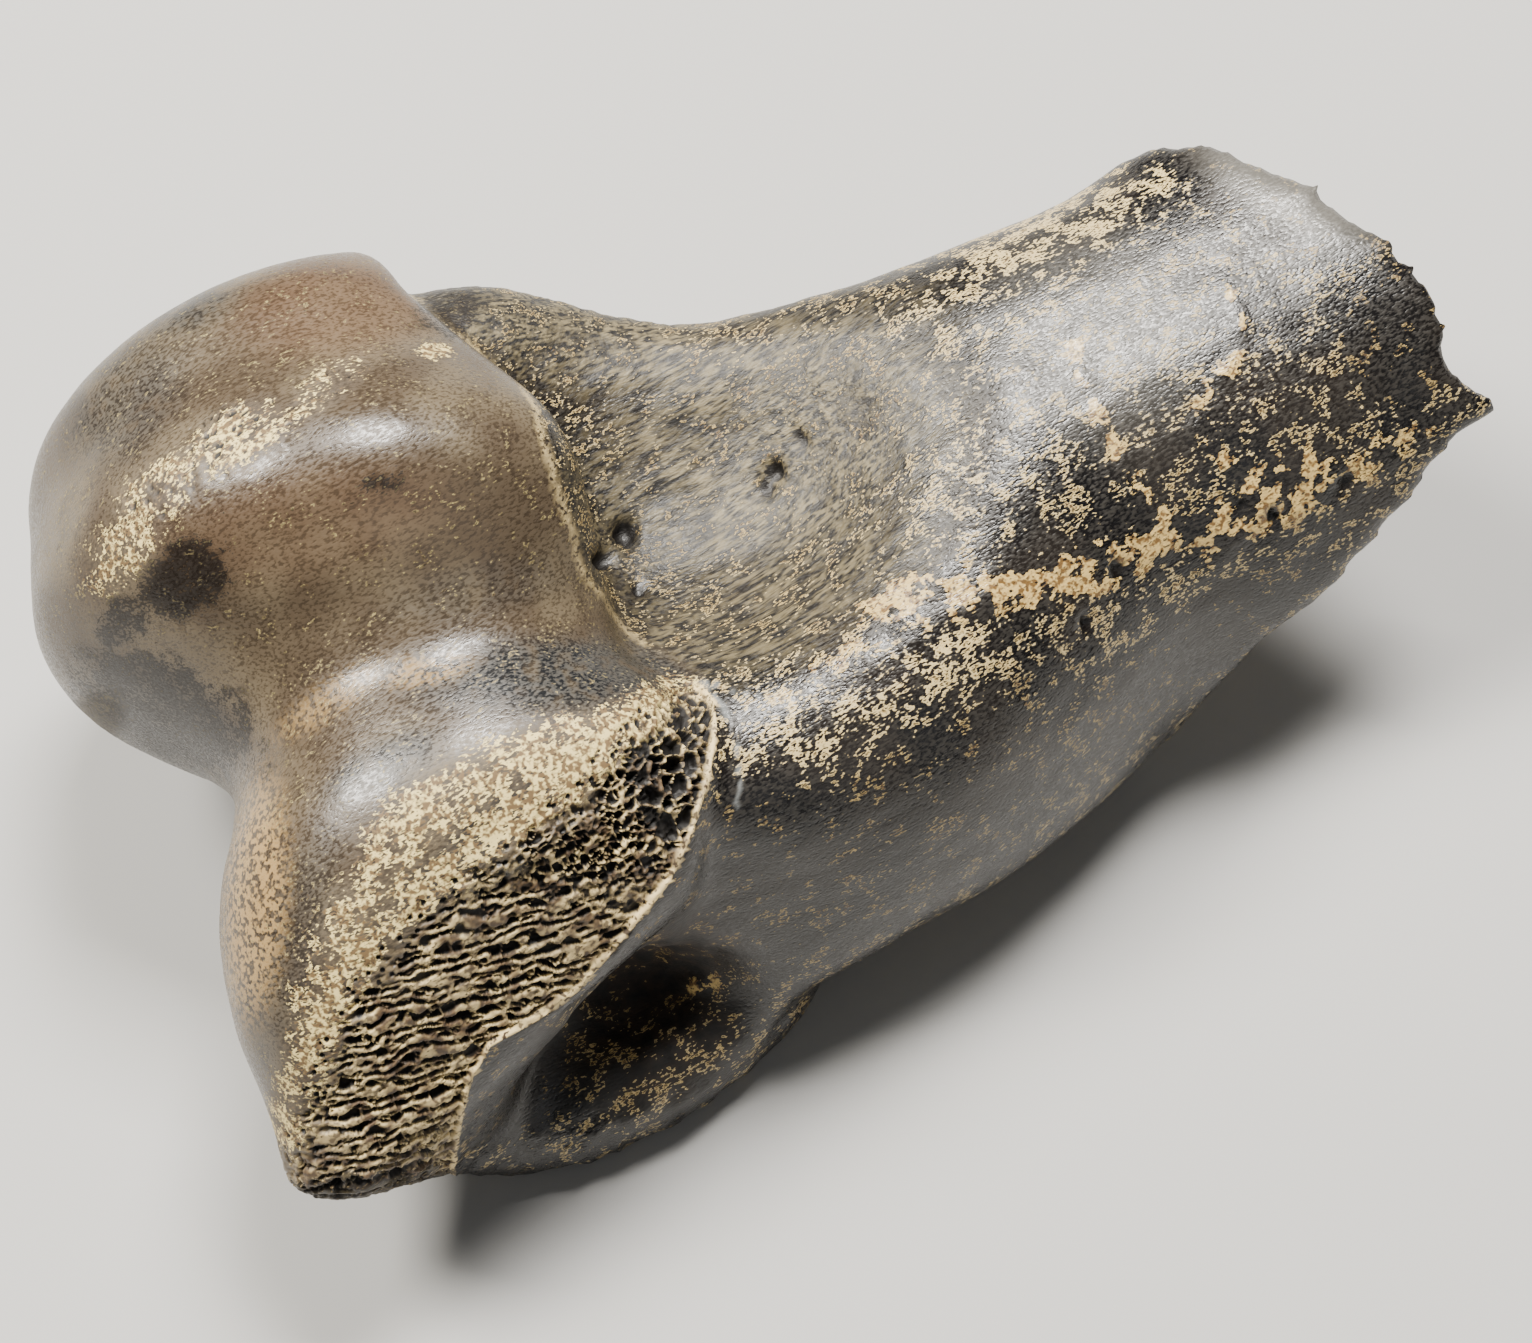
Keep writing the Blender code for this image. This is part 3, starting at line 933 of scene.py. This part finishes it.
def shaft_colour(tree, noise):
    """The black shaft with its fibres, its cream flecks and its crust."""
    colour = blend(tree, between(tree, noise.broad, 0.4, 0.65), SHAFT_BLACK, SHAFT_BROWN)
    colour = blend(tree, between(tree, noise.grain, 0.40, 0.62, 0, 0.35), colour, SHAFT_GREY)
    # Painted shade in the side pit.
    pit = blend(tree, between(tree, noise.middling, 0.35, 0.62), PIT_SHADE_DARK, PIT_SHADE_BROWN)
    colour = blend(tree, mask(tree, "pit"), colour, pit)
    colour = fibre_colour(tree, noise, colour)
    colour = blend(tree, fleck_share(tree, noise), colour, FLECK)
    return crust_colour(tree, noise, colour)


def bone_colour(tree, noise):
    """The colour all over the bone."""
    whole = blend(tree, mask(tree, "joint"), shaft_colour(tree, noise), joint_colour(tree, noise))
    strut = blend(tree, between(tree, noise.middling, 0.38, 0.60), STRUT_BROWN, STRUT_CREAM)
    strut = blend(tree, between(tree, noise.fine, 0.36, 0.54, 0.75, 0.0), strut, STRUT_SHADE)
    whole = blend(tree, mask(tree, "spongy"), whole, strut)
    rim = product(tree, mask(tree, "rim"), between(tree, noise.fine, 0.36, 0.46))
    whole = blend(tree, rim, whole, RIM_CREAM)
    # Painted shade in the holes and pores.
    whole = blend(tree, between(tree, mask(tree, "hole"), 0.10, 0.55), whole, HOLE_SHADE)
    # Black stains, and painted shade on the underside of the joint.
    stain_and_shade = raised(tree, noise.gathered, mask(tree, "black"), 0.5)
    whole = blend(tree, between(tree, stain_and_shade, 0.82, 0.98, 0, 0.9), whole, STAIN_AND_SHADE)
    # A pale grey patch, and a painted sheen on the shaft's lit top.
    whole = blend(tree, product(tree, mask(tree, "pale_and_sheen"), 0.4), whole, PALE_AND_SHEEN_GREY)
    return blend(tree, between(tree, mask(tree, "crack"), 0.2, 0.9, 0, 0.5), whole, CRACK_GREY)


def bone_roughness(tree, noise):
    """Polished bone, and the duller spongy bone, pit, cream cover and fibres."""
    dull = reckon(tree, "ADD", mask(tree, "pit"), mask(tree, "cream"))
    dull = reckon(tree, "ADD", mask(tree, "spongy"), dull)
    dull = reckon(tree, "ADD", dull, product(tree, mask(tree, "fibre"), 0.5))
    sheen = between(tree, noise.grain, 0.3, 0.7, *SHEEN)
    return add_node(tree, "ShaderNodeMix", dull, None, sheen, DULL).outputs[0]


def bone_material():
    material = bpy.data.materials.new("fossil_bone")
    material.use_nodes = True
    tree = material.node_tree
    noise = bone_noises(tree)
    surface = tree.nodes["Principled BSDF"]
    tree.links.new(bone_colour(tree, noise), surface.inputs["Base Color"])
    tree.links.new(bone_roughness(tree, noise), surface.inputs["Roughness"])
    surface.inputs["Specular IOR Level"].default_value = MIRROR
    relief = product(tree, noise.grain, between(tree, mask(tree, "joint"), 0, 1, 1, 0.4))
    bump = add_node(tree, "ShaderNodeBump", GRAIN_STRENGTH, GRAIN_RELIEF * MM)
    tree.links.new(relief, bump.inputs["Height"])
    tree.links.new(bump.outputs[0], surface.inputs["Normal"])
    return material


def main():
    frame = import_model()
    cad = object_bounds()
    place_camera()
    place_lights()
    place_floor()
    bone = bone_mesh(frame["nodes"]["bone"])
    weathered(bone, np.array(cad) / MM)
    bone.data.transform(Matrix.Scale(MM, 4))
    bone.data.shade_smooth()
    bone.data.materials.append(bone_material())
    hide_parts("bone")
    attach(bone, "root")


main()
